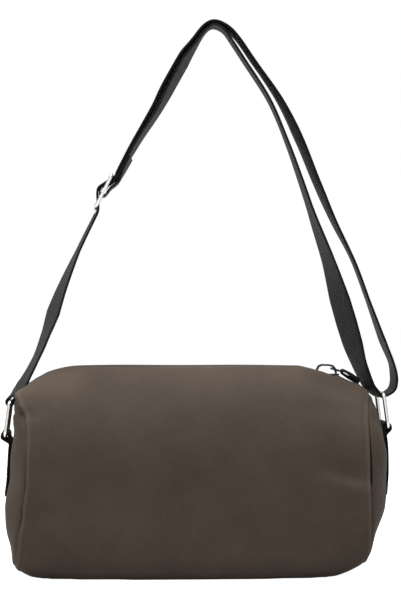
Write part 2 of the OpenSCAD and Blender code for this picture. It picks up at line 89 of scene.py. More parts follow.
bpy.ops.mesh.primitive_plane_add(size=9, location=(0, 0, -0.0003))
floor = bpy.context.active_object
floor.name = "studio_floor"
floor_paint = bpy.data.materials.new("studio_floor_paint")
floor_paint.use_nodes = True
floor_paint.node_tree.nodes.clear()
matt = add_node(floor_paint, "BsdfDiffuse", {"Color": (0.5, 0.5, 0.5, 1)})
glow_level = worked_out(floor_paint, "MULTIPLY", seen_directly(floor_paint), floor_glow)
glow = add_node(floor_paint, "Emission", {"Strength": glow_level})
together = add_node(floor_paint, "AddShader", {0: matt.outputs[0], 1: glow.outputs[0]})
add_node(floor_paint, "OutputMaterial", {"Surface": together.outputs[0]})
floor.data.materials.append(floor_paint)

room = bpy.data.worlds.new("white_room")
room.use_nodes = True
room.node_tree.nodes.clear()
soft_room = add_node(room, "Background", {"Color": (1, 1, 1, 1), "Strength": room_light})
white_back = add_node(room, "Background", {"Color": (1, 1, 1, 1), "Strength": 1.0})
picked = add_node(room, "MixShader", {0: seen_directly(room), 1: soft_room.outputs[0],
                                      2: white_back.outputs[0]})
add_node(room, "OutputWorld", {"Surface": picked.outputs[0]})
bpy.context.scene.world = room

for lamp_name, place, size, power in (
    ("soft_box_overhead", Vector((-0.1, 0.02, 1.5)), 1.2, 49.0),
    ("soft_box_front", Vector((-0.7, -2.2, 0.9)), 1.2, 7.0),
):
    toward = (Vector((0, 0, 0.12)) - place).to_track_quat("-Z", "Y").to_euler()
    bpy.ops.object.light_add(type="AREA", location=place, rotation=toward)
    lamp = bpy.context.active_object
    lamp.name = lamp_name
    lamp.data.size = size
    lamp.data.energy = power

# Main panel: the bag's outer cloth, one piece of smooth taupe weave. It runs from lip to lip of the zip by
# way of the front, the base and the back, 268 mm wide between its end seams. Its lips are turned in, and
# its two sides are sewn to the end panels, where the stuffed cloth pulls in and shows a few soft creases.
half_len = 134
half_deep = 70
belly = 68
crown = 163.8
zip_floor = 153.5
lip_edge = 7.5
section_round = 498
cloth_thick = 1.4
top_power = 2.4
base_flat = 5
end_narrower = 6
flat_top = {-1: 170, 1: 160}
shoulder_drop = {-1: 17.9, 1: 23.7}
flat_base = {-1: 190, 1: 140}
corner_lift = {-1: 10, 1: 14}
groove_half, groove_slope, seat_wider, seat_deep = 11, 12, 7, 0.4
seam_bow, seam_waist = 9, 95
ear_out, ear_foot, ear_soft, tab_half = 4.5, 125, 9, 17
columns, rows_round = 150, 170
seam_tables = {
    -1: ((0, 141.7), (6, 141.6), (27, 139), (50, 135.4), (75, 132.6), (110, 132.2), (124, 133.4),
         (134, 134.8), (140, 137.6)),
    1: ((0, 130.6), (8, 131), (26, 131.8), (46, 131.6), (86, 130.6), (120, 130.6), (132, 132.2),
        (140, 135.5)),
}


def ease(share):
    share = min(1, max(0, share))
    return share * share * (3 - 2 * share)


def swell(at, middle, wide):
    return math.exp(-((at - middle) / wide) ** 2)


def past(f, flat):
    flat_share = flat / (2 * half_len)
    return max(0, abs(f) - flat_share) / (1 - flat_share)


def read_table(table, at):
    for (a, low), (b, high) in zip(table, table[1:]):
        if at <= b:
            return low + (high - low) * ease((at - a) / (b - a))
    return table[-1][1]


def zip_fall(f):
    return shoulder_drop[1] * past(f, flat_top[1]) ** 1.43


def top_fall(f):
    if f < 0:
        return shoulder_drop[-1] * past(f, flat_top[-1]) ** 2.5
    return zip_fall(f) - 2 * swell(f, 0.955, 0.05)


def groove_at(f, y):
    half = groove_half + seat_wider * ease((-f - 0.8) / 0.2)
    strap_seat = zip_fall(f) - top_fall(f) + seat_deep if f < 0 else 0
    deep = max(0, crown - zip_floor - top_fall(f), strap_seat)
    return deep * (1 - ease((abs(y) - half) / groove_slope))


def base_lift(f):
    side, power = (-1, 2.5) if f < 0 else (1, 2)
    return corner_lift[side] * past(f, flat_base[side]) ** power


def deep_at(f):
    return half_deep - end_narrower * f * f


def plain_seam(z):
    return half_len + seam_bow * ((z - seam_waist) / seam_waist) ** 2


def seam_reach(f, z, y=0):
    reach = plain_seam(z) + (read_table(seam_tables[-1 if f < 0 else 1], z) - plain_seam(z)) * abs(f) ** 4
    if f < 0:
        reach += ear_out * ease((z - ear_foot) / ear_soft) * ease((abs(y) - tab_half) / ear_soft) * f ** 8
    return reach


def rise_and_fall(value, power):
    return math.copysign(abs(value) ** power, value)


def cloth_place(f, turn, below):
    upper = math.sin(turn) >= 0
    power = top_power if upper else 8 - 4 * f * f
    reach = crown - belly - top_fall(f) if upper else belly + base_flat - base_lift(f)
    y = (deep_at(f) - below) * rise_and_fall(math.cos(turn), 2 / power)
    z = belly + (reach - below) * rise_and_fall(math.sin(turn), 2 / power)
    if upper:
        z -= groove_at(f, y)
    else:
        z = max(below, z)
    return Vector((f * seam_reach(f, z, y), y, z))


def turn_at(f, y, below):
    return math.acos(-((y / (deep_at(f) - below)) ** (top_power / 2)))


def evenly(points, count):
    run = [0]
    for a, b in zip(points, points[1:]):
        run.append(run[-1] + (b - a).length)
    spread, k = [], 0
    for step in range(count + 1):
        want = run[-1] * step / count
        while k < len(run) - 2 and run[k + 1] < want:
            k += 1
        share = (want - run[k]) / max(run[k + 1] - run[k], 1e-9)
        spread.append(points[k].lerp(points[k + 1], min(1, max(0, share))))
    return spread


def lay_cloth(name, across, along, place, flat=(1, 1)):
    bpy.ops.mesh.primitive_grid_add(x_subdivisions=across, y_subdivisions=along, size=1, calc_uvs=True)
    cloth = bpy.context.active_object
    cloth.name = cloth.data.name = name
    for corner in cloth.data.vertices:
        corner.co = place(corner.co.x + 0.5, corner.co.y + 0.5) * mm
    for loop in cloth.data.uv_layers.active.data:
        loop.uv = (loop.uv[0] * flat[0] * mm, loop.uv[1] * flat[1] * mm)
    return cloth


def in_edit(piece, *steps):
    bpy.ops.object.select_all(action="DESELECT")
    piece.select_set(True)
    bpy.context.view_layer.objects.active = piece
    bpy.ops.object.mode_set(mode="EDIT")
    bpy.ops.mesh.select_all(action="SELECT")
    for step in steps:
        step()
    bpy.ops.object.mode_set(mode="OBJECT")


def face_away(piece, middle):
    from_here = Vector(middle) * mm
    outward = sum(face.normal.dot(face.center - from_here) * face.area for face in piece.data.polygons)
    if outward < 0:
        in_edit(piece, bpy.ops.mesh.flip_normals)


def finish_with(piece, kind, **settings):
    bpy.context.view_layer.objects.active = piece
    worker = piece.modifiers.new(kind.lower(), kind)
    for key, value in settings.items():
        setattr(worker, key, value)
    bpy.ops.object.modifier_apply(modifier=worker.name)


def smooth_shade(piece, angle=40):
    bpy.ops.object.select_all(action="DESELECT")
    piece.select_set(True)
    bpy.context.view_layer.objects.active = piece
    bpy.ops.object.shade_smooth_by_angle(angle=math.radians(angle))


def past_the_middle(u):
    s = 2 * u - 1
    return s + 0.2 * math.sin(math.pi * s)


# One line a crease: its two ends as x and z on the front, how soft it is above and below, and its depth.
# Where the depth is below zero, the cloth stands up in a ridge.
creases = (
    (92, 85, 133, 75, 12, 5, 4.2),
    (98, 72, 133, 64, 5, 8, -1.2),
    (120, 98, 133, 95, 9, 8, 1.0),
    (84, 153, 131, 137, 6, 5, 3.2),
    (60, 134, 128, 122, 8, 6, 0.8),
    (-102, 54, -135, 42, 9, 6, 1.3),
    (-112, 130, -137, 122, 7, 5, 1.0),
    (-118, 26, -138, 34, 6, 6, 0.9),
    (64, 30, 128, 14, 13, 10, 1.4),
    (-150, 16, 124, 13, 5, 6, -0.9),
)


def crease_depth(x, z):
    deep = 0
    for x1, z1, x2, z2, above, under, most in creases:
        way = Vector((x2 - x1, z2 - z1))
        at = Vector((x - x1, z - z1))
        share = at.dot(way) / way.length_squared
        off = (at.y * way.x - at.x * way.y) / way.length
        off *= math.copysign(1, way.x)
        fade = ease(share + 0.35) if share < 0.65 else 1
        deep += most * fade * swell(off, 0, above if off > 0 else under)
    return deep


def outward_at(spot):
    return Vector((0, spot.y / half_deep ** 2, (spot.z - belly) / belly ** 2)).normalized()


def pressed_in(spot):
    held_by_seam = 1 - 0.6 * min(1, abs(spot.x) / 131) ** 14
    return ease((-spot.y - 20) / 35) * held_by_seam * crease_depth(spot.x, spot.z)


def turned_under(from_edge, wide, deep):
    return deep * (1 - math.sqrt(1 - max(0, 1 - from_edge / wide) ** 2))


section_lines = {}


def main_place(u, v):
    f = past_the_middle(u)
    key = round(u, 5)
    if key not in section_lines:
        start = turn_at(f, lip_edge, 0)
        turns = [start + (3 * math.pi - 2 * start) * k / 300 for k in range(301)]
        section_lines[key] = evenly([cloth_place(f, turn, 0) for turn in turns], rows_round)
    spot = section_lines[key][round(v * rows_round)].copy()
    from_seam = (1 - abs(f)) * half_len
    tuck = turned_under(from_seam, 2.8, 1.5)
    tuck += 0.2 * swell(from_seam, 5.4, 1.2) - 0.4 * swell(from_seam, 2.2, 1.2)
    wave = 0.45 * math.sin(spot.x / 23 + spot.z / 41) * math.sin(spot.z / 29 - spot.x / 67 + spot.y / 31)
    rested = ease(spot.z / 10)
    off_seam = 1 - abs(f) ** 10
    spot -= outward_at(spot) * (tuck + pressed_in(spot) - wave * rested * off_seam)
    spot.z = max(0, spot.z)
    return spot


main_panel = lay_cloth("outer_main_panel", columns, rows_round, main_place, (2 * half_len, section_round))
for loop in main_panel.data.uv_layers.active.data:
    loop.uv.x = (past_the_middle(loop.uv.x / (2 * half_len * mm)) + 1) * half_len * mm
face_away(main_panel, (0, 0, 80))
finish_with(main_panel, "SOLIDIFY", thickness=cloth_thick * mm, offset=-1, use_even_offset=True)
smooth_shade(main_panel, 60)
# Painted highlight: a thin band 1.9 mm in from each end seam, where the panel's edge rolls up in a ridge, is
# marked here to be drawn lighter.
ridge_highlight_marks = main_panel.data.attributes.new("seam_ridge_highlight", "FLOAT", "CORNER")
for spot, loop in zip(ridge_highlight_marks.data, main_panel.data.uv_layers.active.data):
    from_seam = min(loop.uv.x, 2 * half_len * mm - loop.uv.x) / mm
    spot.value = swell(from_seam, 1.9, 1.0)


def new_finish(name):
    finish = bpy.data.materials.new(name)
    finish.use_nodes = True
    return finish, finish.node_tree.nodes["Principled BSDF"]


def wire_up(shader, socket, source):
    shader.id_data.links.new(source, shader.inputs[socket])


def thread_weave(finish, pitch):
    laid = add_node(finish, "TexCoord").outputs["UV"]
    scaled = add_node(finish, "Mapping", {"Vector": laid, "Scale": (1 / (pitch * mm),) * 3}).outputs[0]
    wave = {"Vector": scaled, "Scale": 0.314, "Distortion": 0.4, "Detail": 1.0, "Detail Scale": 2.0}
    warp, weft = (add_node(finish, "TexWave", wave, bands_direction=way).outputs["Fac"] for way in "XY")
    checks = add_node(finish, "TexChecker", {"Vector": scaled, "Scale": 1.0}).outputs["Fac"]
    return add_node(finish, "Mix", {"Factor": checks, "A": warp, "B": weft}, data_type="FLOAT").outputs[0]


def soft_patches(finish, size, detail=3.0):
    place = add_node(finish, "TexCoord").outputs["Object"]
    cloud = add_node(finish, "TexNoise", {"Vector": place, "Scale": 1 / (size * mm), "Detail": detail,
                                          "Roughness": 0.55})
    return cloud.outputs["Fac"]


def ranged(finish, value, low, high, start=0.0, stop=1.0):
    spread = {"Value": value, "From Min": start, "From Max": stop, "To Min": low, "To Max": high}
    return add_node(finish, "MapRange", spread).outputs[0]


def two_tones(finish, value, first, second):
    ramp = add_node(finish, "ValToRGB", {"Fac": value})
    for stop, (position, colour) in zip(ramp.color_ramp.elements, (first, second)):
        stop.position = position
        stop.color = colour + (1,)
    return ramp.outputs[0]


def shaded(finish, colour, shade):
    mixed = add_node(finish, "Mix", {"Factor": 1.0, "A": colour, "B": shade}, data_type="RGBA",
                     blend_type="MULTIPLY")
    return mixed.outputs[2]


cloth_taupe, taupe = new_finish("taupe_cloth")
threads = thread_weave(cloth_taupe, 0.62)
patches = soft_patches(cloth_taupe, 34)
grain = soft_patches(cloth_taupe, 1.6, 2.0)
tone = two_tones(cloth_taupe, patches, (0.3, (0.0675, 0.0515, 0.0402)), (0.7, (0.081, 0.0622, 0.049)))
thread_tone = ranged(cloth_taupe, threads, 0.86, 1.1)
grain_tone = ranged(cloth_taupe, grain, 0.93, 1.06, 0.3, 0.7)
# Painted highlight: the cloth's colour is raised up to 1.42 times along the marked band beside each seam,
# where the ridge catches the light.
painted_ridge_light = add_node(cloth_taupe, "Attribute", attribute_name="seam_ridge_highlight").outputs["Fac"]
ridge_highlight_tone = worked_out(cloth_taupe, "MULTIPLY_ADD", painted_ridge_light, 0.42, 1.0)
shade = worked_out(cloth_taupe, "MULTIPLY", thread_tone, grain_tone)
shade = worked_out(cloth_taupe, "MULTIPLY", shade, ridge_highlight_tone)
raised = add_node(cloth_taupe, "Bump", {"Height": threads, "Strength": 0.25, "Distance": 0.12 * mm})
wire_up(taupe, "Base Color", shaded(cloth_taupe, tone, shade))
wire_up(taupe, "Normal", raised.outputs[0])
taupe.inputs["Roughness"].default_value = 0.72
taupe.inputs["Specular IOR Level"].default_value = 0.04
taupe.inputs["Sheen Weight"].default_value = 0.01
taupe.inputs["Sheen Roughness"].default_value = 0.4
main_panel.data.materials.append(cloth_taupe)
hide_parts("main_panel")
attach(main_panel, "bag")

# End panels: two domed pieces of the same cloth, sewn round their edge to the main panel. The stuffing
# pushes them out beside the strap's tabs, and the tabs hold them back in the middle.
cloth_gap = 1.0
rim_deep, rim_up, rim_down = 64, 71.7, {-1: 63, 1: 59}
dome_out = {-1: 11.3, 1: 15.6}


def ring_share(side, y, z):
    high, power = (rim_up, top_power) if z >= belly else (rim_down[side], 4)
    return ((abs(y) / rim_deep) ** power + (abs(z - belly) / high) ** power) ** (1 / power)


def end_reach(side, y, z):
    held_by_tab = y * ease((abs(y) - 13) / 18)
    from_middle, edge = (min(1, ring_share(side, across, z)) for across in (held_by_tab, y))
    if side < 0:
        low = 0.62 + 0.38 * ease((z - 4) / 44)
        full = 1.7 + 1.1 * ease((z - belly) / 40)
        beside = 5.8 - 2.4 * ease((z - 62) / 18)
    else:
        low = ease((z - 8) / 56) * (1 - 0.13 * swell(z, 60, 13))
        full = 2.2 + 1.4 * ease((z - 70) / 30)
        beside = 4.9 - 2.1 * ease((z - 61) / 18)
    dome = dome_out[side] * (1 - from_middle ** full) * (0.1 + 0.9 * low)
    beside *= ease((abs(y) - tab_half) / 15) * low * (1 - edge ** 3)
    if side < 0:
        beside *= 0.55 + 0.45 * ease((z - 20) / 30)
        beside += 5.2 * swell(z, 128, 14) * ease((abs(y) - 25) / 8) * (1 - edge ** 16)
    return seam_reach(side, z, y) + cloth_gap + dome + beside


def close_up(piece):
    in_edit(piece, lambda: bpy.ops.mesh.remove_doubles(threshold=0.02 * mm))


def lay_sideways(piece):
    for loop, corner in zip(piece.data.uv_layers.active.data, piece.data.loops):
        spot = piece.data.vertices[corner.vertex_index].co
        loop.uv = (spot.y, spot.z)


for side, hand in ((-1, "left"), (1, "right")):
    def end_place(u, v):
        share = v + 0.1 * math.sin(math.pi * v)
        rim = cloth_place(side, 2 * math.pi * u, 0)
        rim -= (1.7 + pressed_in(rim)) * outward_at(rim)
        y, z = rim.y * share, belly + (rim.z - belly) * share
        from_fold = (y + 34) * 0.8 + (z - 112) * 0.6
        fold = 1.1 * swell(from_fold, 0, 6) * ease((z - 88) / 14) * ease((128 - z) / 9)
        round_in = turned_under((1 - share) * 60, 3.2, 1.4)
        reach = end_reach(side, y, z) - round_in - (fold if side > 0 else fold * 0.5)
        return Vector((side * reach, y, max(0.6, z)))

    end_cloth = lay_cloth("outer_end_panel_" + hand, 96, 34, end_place)
    close_up(end_cloth)
    face_away(end_cloth, (0, 0, 75))
    finish_with(end_cloth, "SOLIDIFY", thickness=cloth_thick * mm, offset=-1, use_even_offset=True)
    smooth_shade(end_cloth, 60)
    lay_sideways(end_cloth)
    end_cloth.data.materials.append(cloth_taupe)
    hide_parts("end_panel_" + hand)
    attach(end_cloth, "bag")

# Seam bindings: inside the bag a strip of woven tape is folded over each end seam's raw edges and sewn, so
# it stands up as a soft rib all round the seam.


def woven_finish(name, pitch, dark, pale, strength, depth):
    finish, shader = new_finish(name)
    rows = thread_weave(finish, pitch)
    raised = add_node(finish, "Bump", {"Height": rows, "Strength": strength, "Distance": depth * mm})
    wire_up(shader, "Base Color", ranged(finish, rows, dark, pale))
    wire_up(shader, "Normal", raised.outputs[0])
    return finish, shader


tape_black, tape_shader = woven_finish("black_woven_tape", 0.7, 0.006, 0.016, 0.4, 0.15)
tape_shader.inputs["Roughness"].default_value = 0.75
tape_shader.inputs["Specular IOR Level"].default_value = 0.12
tape_shader.inputs["Sheen Weight"].default_value = 0.04

for side, hand in ((-1, "left"), (1, "right")):
    folded = [(0, 0.1), (0.12, 0), (0.88, 0), (1, 0.1), (1, 0.9), (0.8, 1), (0.2, 1), (0, 0.9), (0, 0.1)]

    def binding_place(u, v):
        across, down = folded[round(v * 8)]
        deep = 3.4 + 5.4 * down
        spot = cloth_place(side, 2 * math.pi * u, deep)
        spot.x = side * (abs(seam_reach(side, spot.z)) - 0.9 - 4.8 * across)
        return spot - pressed_in(spot) * outward_at(spot)

    binding = lay_cloth("seam_binding_tape_" + hand, 120, 8, binding_place, (420, 20))
    close_up(binding)
    in_edit(binding, lambda: bpy.ops.mesh.normals_make_consistent(inside=False))
    smooth_shade(binding, 50)
    binding.data.materials.append(tape_black)
    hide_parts("seam_binding_" + hand)
    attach(binding, "bag")

# Lining: a thin black bag of plain weave inside the shell, one wrap and two ends. It hangs from the zip
# tapes and is caught in the end seams.
lining_thick = 0.5
lining_black, lining_shader = woven_finish("black_lining", 0.45, 0.016, 0.028, 0.2, 0.08)
lining_shader.inputs["Roughness"].default_value = 0.5
lining_shader.inputs["Sheen Weight"].default_value = 0.2


def lining_place(u, v):
    f = 0.94 * (2 * u - 1)
    start = turn_at(f, 9.5, 3.4)
    turn = start + (3 * math.pi - 2 * start) * v
    ripple = 0.7 * math.sin(9 * turn + 5 * f) * math.sin(math.pi * v) * abs(f)
    spot = cloth_place(f, turn, 3.7 + ripple)
    return spot - pressed_in(spot) * outward_at(spot)


lining_wrap = lay_cloth("lining_wrap", 60, 120, lining_place, (252, 470))
face_away(lining_wrap, (0, 0, 80))
finish_with(lining_wrap, "SOLIDIFY", thickness=lining_thick * mm, offset=-1)
smooth_shade(lining_wrap, 60)
lining_wrap.data.materials.append(lining_black)
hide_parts("lining_body")
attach(lining_wrap, "bag")

for side, hand in ((-1, "left"), (1, "right")):
    def lining_end_place(u, v):
        rim = cloth_place(side, 2 * math.pi * u, 4.6)
        y, z = rim.y * v, belly + (rim.z - belly) * v
        share = min(1, v / 0.88)
        ripple = 0.5 * math.sin(14 * math.pi * u) * v * (1 - v)
        reach = min(plain_seam(z) - 7.8 + 11.5 * (1 - share ** 2), end_reach(side, y, z) - 4.2)
        return Vector((side * (reach + ripple), y, z))

    lining_end = lay_cloth("lining_end_" + hand + "_cloth", 72, 20, lining_end_place)
    close_up(lining_end)
    face_away(lining_end, (0, 0, 75))
    finish_with(lining_end, "SOLIDIFY", thickness=lining_thick * mm, offset=-1)
    smooth_shade(lining_end, 60)
    lay_sideways(lining_end)
    lining_end.data.materials.append(lining_black)
    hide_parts("lining_end_" + hand)
    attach(lining_end, "bag")

# Zip tapes: two strips of black woven tape, sewn under the cloth's turned-in lips, that carry the teeth on
# a corded edge.
tape_edge, tape_wide, tape_under = 2.8, 11, 1.5
for side, hand in ((-1, "front"), (1, "back")):
    def tape_place(u, v):
        f = 0.998 * (2 * u - 1)
        y = tape_edge + tape_wide * v
        start = turn_at(f, y, tape_under)
        return cloth_place(f, start if side < 0 else 3 * math.pi - start, tape_under)

    tape = lay_cloth("zip_tape_" + hand + "_cloth", 120, 14, tape_place, (2 * half_len, tape_wide))
    face_away(tape, (0, 0, 60))
    finish_with(tape, "SOLIDIFY", thickness=0.7 * mm, offset=-1)
    smooth_shade(tape, 50)
    tape.data.materials.append(tape_black)
    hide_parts("zip_tape_" + hand)
    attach(tape, "bag")

# Lip stitching: one row of taupe thread along each lip of the opening, sewn by machine, holds the turned-in
# cloth to the zip tape.
lip_stitch_at, lip_stitch_end = 11.2, 128


def thread_finish(name, dark, pale, roughness):
    finish, shader = new_finish(name)
    place = add_node(finish, "TexCoord").outputs["Object"]
    plies = add_node(finish, "TexWave", {"Vector": place, "Scale": 700.0, "Distortion": 1.0},
                     bands_direction="DIAGONAL")
    wire_up(shader, "Base Color", ranged(finish, plies.outputs["Fac"], dark, pale))
    shader.inputs["Roughness"].default_value = roughness
    return finish


thread_taupe = thread_finish("taupe_thread", 0.05, 0.085, 0.55)


def stitch_row(count, pitch, length, thick):
    bpy.ops.mesh.primitive_uv_sphere_add(segments=6, ring_count=4, radius=0.5, rotation=(0, math.pi / 2, 0))
    row = bpy.context.active_object
    bpy.ops.object.transform_apply(location=False, rotation=True, scale=False)
    for corner in row.data.vertices:
        corner.co = Vector((corner.co.x * length, corner.co.y * thick, corner.co.z * thick * 0.8))
    finish_with(row, "ARRAY", count=count, use_relative_offset=False, use_constant_offset=True,
                constant_offset_displace=(pitch, 0, 0))
    return row


def sew(name, lines, surface, pitch=3.2, length=2.5, thick=0.55):
    rows = []
    for (w1, s1), (w2, s2) in lines:
        run = math.hypot(w2 - w1, s2 - s1)
        count = max(1, round(run / pitch))
        row = stitch_row(count, run / count, length, thick)
        way = ((w2 - w1) / run, (s2 - s1) / run)
        for corner in row.data.vertices:
            along, beside, up = corner.co.x + run / count / 2, corner.co.y, corner.co.z
            w = w1 + way[0] * along - way[1] * beside
            s = s1 + way[1] * along + way[0] * beside
            corner.co = surface(w, s, up) * mm
        rows.append(row)
    bpy.ops.object.select_all(action="DESELECT")
    for row in rows:
        row.select_set(True)
    bpy.context.view_layer.objects.active = rows[0]
    if len(rows) > 1:
        bpy.ops.object.join()
    thread = bpy.context.active_object
    thread.name = thread.data.name = name
    in_edit(thread, lambda: bpy.ops.mesh.normals_make_consistent(inside=False))
    smooth_shade(thread, 80)
    return thread


for side, hand in ((-1, "front"), (1, "back")):
    def on_lip(w, s, up):
        f = s / half_len
        start = turn_at(f, w, 0)
        outside = cloth_place(f, start if side < 0 else 3 * math.pi - start, 0)
        return outside + Vector((0, 0, up + 0.12))

    line = ((lip_stitch_at, -lip_stitch_end), (lip_stitch_at, lip_stitch_end))
    thread = sew("lip_stitching_" + hand, [line], on_lip)
    thread.data.materials.append(thread_taupe)
    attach(thread, "bag")

# Zip teeth: black moulded teeth, one shape copied at a 2.8 mm pitch along each tape's cord, the two rows
# set half a pitch apart so that they mesh. Small stops close both ends.
teeth_black, teeth_shader = new_finish("black_moulded_plastic")
teeth_cloud = soft_patches(teeth_black, 5)
wire_up(teeth_shader, "Base Color", ranged(teeth_black, teeth_cloud, 0.006, 0.013))
wire_up(teeth_shader, "Roughness", ranged(teeth_black, teeth_cloud, 0.28, 0.42))
teeth_shader.inputs["Specular IOR Level"].default_value = 0.3

zip_mid = 151.65
tooth_pitch, tooth_count = 2.8, 77
row_start = 106.5
cord_radius, cord_length, cord_from_mid = 0.85, 217, 2.1
for side, hand in ((-1, "front"), (1, "back")):
    bpy.ops.mesh.primitive_cube_add(size=1, location=(0, 0, 0))
    tooth = bpy.context.active_object
    for corner in tooth.data.vertices:
        x, y, z = corner.co
        corner.co = Vector((x * (1.15 if y > 0 else 0.85), -1 + y * 3.4, z * 2.6)) * mm
    finish_with(tooth, "BEVEL", width=0.3 * mm, segments=2, limit_method="NONE")
    finish_with(tooth, "ARRAY", count=tooth_count, use_relative_offset=False, use_constant_offset=True,
                constant_offset_displace=(tooth_pitch * mm, 0, 0))
    bpy.ops.mesh.primitive_cylinder_add(vertices=12, radius=cord_radius * mm, depth=cord_length * mm,
                                        location=(cord_length / 2 * mm, -cord_from_mid * mm, 0),
                                        rotation=(0, math.pi / 2, 0))
    cord_edge = bpy.context.active_object
    cord_edge.select_set(True)
    tooth.select_set(True)
    bpy.context.view_layer.objects.active = tooth
    bpy.ops.object.join()
    tooth.name = tooth.data.name = "zip_teeth_" + hand + "_row"
    for corner in tooth.data.vertices:
        start = row_start - (tooth_pitch / 2 if side > 0 else 0)
        corner.co = Vector((corner.co.x - start * mm, -side * corner.co.y, corner.co.z + zip_mid * mm))
    in_edit(tooth, lambda: bpy.ops.mesh.normals_make_consistent(inside=False))
    smooth_shade(tooth, 35)
    tooth.data.materials.append(teeth_black)
    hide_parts("zip_teeth_" + hand)
    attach(tooth, "bag")


def rounded_copy(node, name, width):
    made = bpy.data.objects.new(name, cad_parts[node].data.copy())
    bpy.context.scene.collection.objects.link(made)
    made.data.name = name
    made.data.materials.clear()
    in_edit(made, lambda: bpy.ops.mesh.remove_doubles(threshold=0.004 * mm),
            lambda: bpy.ops.mesh.dissolve_limited(angle_limit=math.radians(2)))
    finish_with(made, "BEVEL", width=width * mm, segments=2, limit_method="ANGLE",
                angle_limit=math.radians(35))
    smooth_shade(made, 35)
    return made


for node in ("zip_top_stops", "zip_bottom_stop"):
    stop = rounded_copy(node, node + "_moulded", 0.3)
    stop.data.materials.append(teeth_black)
    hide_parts(node)
    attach(stop, "bag")

# Slider: a die-cast body painted gloss black, two plates joined by a post, with a crown on top. A wire eye
# hangs in the crown and carries the pull.
slider_paint, enamel = new_finish("black_enamelled_metal")
enamel_wear = soft_patches(slider_paint, 2.2)
wire_up(enamel, "Base Color", ranged(slider_paint, enamel_wear, 0.004, 0.014, 0.35, 0.75))
wire_up(enamel, "Roughness", ranged(slider_paint, enamel_wear, 0.18, 0.34))
enamel.inputs["Metallic"].default_value = 0.35
slider_body = rounded_copy("zip_slider", "zip_slider_body", 0.28)
slider_body.data.materials.append(slider_paint)
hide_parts("zip_slider")
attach(slider_body, "zip_slider")
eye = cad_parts["zip_pull_eye"]
eye.data.materials.clear()
eye.data.materials.append(slider_paint)

# Pull: a short length of black ribbon, folded through the eye and sewn to itself, its two cut ends fanned a
# little apart.
ribbon_black, ribbon_shader = new_finish("black_ribbed_ribbon")
ribbon_uv = add_node(ribbon_black, "TexCoord").outputs["UV"]
ribs = add_node(ribbon_black, "TexWave", {"Vector": ribbon_uv, "Scale": 330.0, "Distortion": 0.2},
                bands_direction="Y").outputs["Fac"]
ribbon_height = add_node(ribbon_black, "Bump", {"Height": ribs, "Strength": 0.6, "Distance": 0.2 * mm})
wire_up(ribbon_shader, "Base Color", ranged(ribbon_black, ribs, 0.003, 0.01))
wire_up(ribbon_shader, "Normal", ribbon_height.outputs[0])
ribbon_shader.inputs["Roughness"].default_value = 0.7
ribbon_shader.inputs["Specular IOR Level"].default_value = 0.12
ribbon_shader.inputs["Sheen Weight"].default_value = 0.02


def curve_through(points, steps):
    line = []
    last = len(points) - 1
    for i in range(last):
        a, b, c, d = (Vector(points[min(max(k, 0), last)]) for k in (i - 1, i, i + 1, i + 2))
        for k in range(steps):
            u = k / steps
            line.append((b * 2 + (c - a) * u + (a * 2 - b * 5 + c * 4 - d) * u * u
                         + (b * 3 - a - c * 3 + d) * u * u * u) / 2)
    line.append(Vector(points[-1]))
    return line


def heading(degrees):
    return Vector((math.cos(math.radians(degrees)), math.sin(math.radians(degrees))))


def bend_round(centre, radius, start, stop, steps=14):
    return [centre + radius * heading(start + (stop - start) * k / steps) for k in range(steps + 1)]


def section_of(width, thick, edge):
    half, flat, bend = width / 2, thick / 2, min(edge, thick / 2)
    top = [(-half + bend + (width - 2 * bend) * k / 10, flat) for k in range(11)]
    right = [(half - bend + bend * math.sin(math.radians(a)), flat * math.cos(math.radians(a)))
             for a in (36, 72, 108, 144)]
    loop = top + right + [(-w, -h) for w, h in top] + [(-w, -h) for w, h in right]
    return loop + loop[:1]


def strip_point(path, turns, k, w, h):
    before, after = path[max(k - 1, 0)], path[min(k + 1, len(path) - 1)]
    way = (after - before).normalized()
    turn = math.radians(turns[k]) if turns else 0
    side = Vector((-way.y * math.sin(turn), math.cos(turn), way.x * math.sin(turn)))
    up = Vector((-way.y * math.cos(turn), -math.sin(turn), way.x * math.cos(turn)))
    return Vector((path[k].x, 0, path[k].y)) + side * w + up * h


def weave_strip(name, path, width, thick, turns=None, edge=0.9):
    loop = section_of(width, thick, edge)
    around, along = len(loop) - 1, len(path) - 1
    bpy.ops.mesh.primitive_grid_add(x_subdivisions=around, y_subdivisions=along, size=1, calc_uvs=True)
    strip = bpy.context.active_object
    strip.name = strip.data.name = name
    run = [0]
    for a, b in zip(path, path[1:]):
        run.append(run[-1] + (b - a).length)
    for corner in strip.data.vertices:
        w, h = loop[round((corner.co.x + 0.5) * around) % around]
        corner.co = strip_point(path, turns, round((corner.co.y + 0.5) * along), w, h) * mm
    for spot in strip.data.uv_layers.active.data:
        w, h = loop[round(spot.uv[0] * around)]
        spot.uv = (w * mm, run[round(spot.uv[1] * along)] * mm)
    in_edit(strip, lambda: bpy.ops.mesh.remove_doubles(threshold=0.004 * mm),
            lambda: bpy.ops.mesh.select_all(action="DESELECT"), bpy.ops.mesh.select_non_manifold,
            lambda: bpy.ops.mesh.fill_holes(sides=0), lambda: bpy.ops.mesh.select_all(action="SELECT"),
            lambda: bpy.ops.mesh.normals_make_consistent(inside=False))
    smooth_shade(strip, 50)
    return strip


ribbon_wide, ribbon_thick = 6.5, 0.8
eye_reach, eye_wire, ribbon_hangs = 9, 0.4, 16
pull_pin = Vector((107.2, 158.49))
eye_far = pull_pin + eye_reach * heading(-15)
hang = heading(-31)
off_hang = Vector((-hang.y, hang.x))
pull_tip = eye_far + ribbon_hangs * hang


def down_ribbon(share, off):
    return eye_far * (1 - share) + pull_tip * share + off * off_hang


